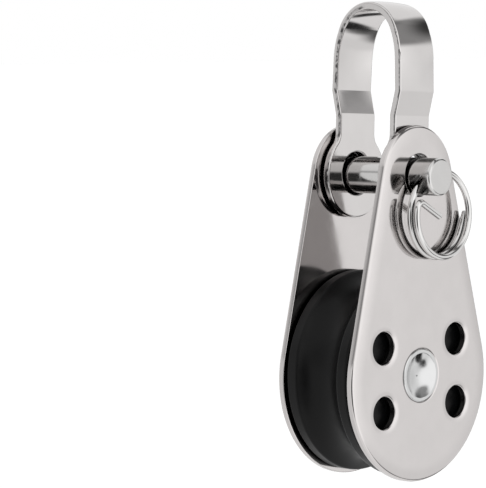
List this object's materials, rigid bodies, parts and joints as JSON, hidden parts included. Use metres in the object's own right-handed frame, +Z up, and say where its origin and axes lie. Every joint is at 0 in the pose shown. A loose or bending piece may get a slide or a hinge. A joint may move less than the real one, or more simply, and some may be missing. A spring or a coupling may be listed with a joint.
{
  "type": "pulley block",
  "caption": "Small single pulley block: grooved sheave between two pear-shaped cheeks, hung from a strap bow on a clevis pin kept by a split ring.",
  "frame": {"origin": "centre of the axle, midway between the cheeks", "axes": "+Z up towards the bow, +Y along the axle away from the pin's free end, +X across"},
  "size_m": [0.032, 0.0213, 0.074],
  "materials": {
    "cheek_steel": "polished stainless sheet",
    "strap_steel": "polished stainless strap",
    "pin_steel": "turned stainless, polished",
    "axle_steel": "turned stainless",
    "wire_steel": "bright stainless wire",
    "black_nylon": "satin moulded nylon"
  },
  "bodies": {
    "bow": {"bow": "strap_steel"},
    "block": {"near_cheek": "cheek_steel", "far_cheek": "cheek_steel", "axle": "axle_steel", "axle_bush": "axle_steel"},
    "sheave": {"sheave": "black_nylon"},
    "pin": {"clevis_pin": "pin_steel"},
    "ring": {"split_ring": "wire_steel"}
  },
  "joints": [
    {"name": "block_swing", "type": "hinge", "parent": "bow", "child": "block", "pos_m": [0, 0, 0.03065], "axis": [0, 1, 0], "range_deg": [-87, 92]},
    {"name": "sheave_spin", "type": "hinge", "parent": "block", "child": "sheave", "pos_m": [0, 0, 0], "axis": [0, 1, 0], "continuous": true},
    {"name": "pin_spin", "type": "hinge", "parent": "block", "child": "pin", "pos_m": [0, 0, 0.03065], "axis": [0, 1, 0], "continuous": true},
    {"name": "ring_swing", "type": "hinge", "parent": "pin", "child": "ring", "pos_m": [0, -0.00895, 0.03065], "axis": [-0.887, 0, -0.4617], "range_deg": [-0.5, 150]}
  ]
}
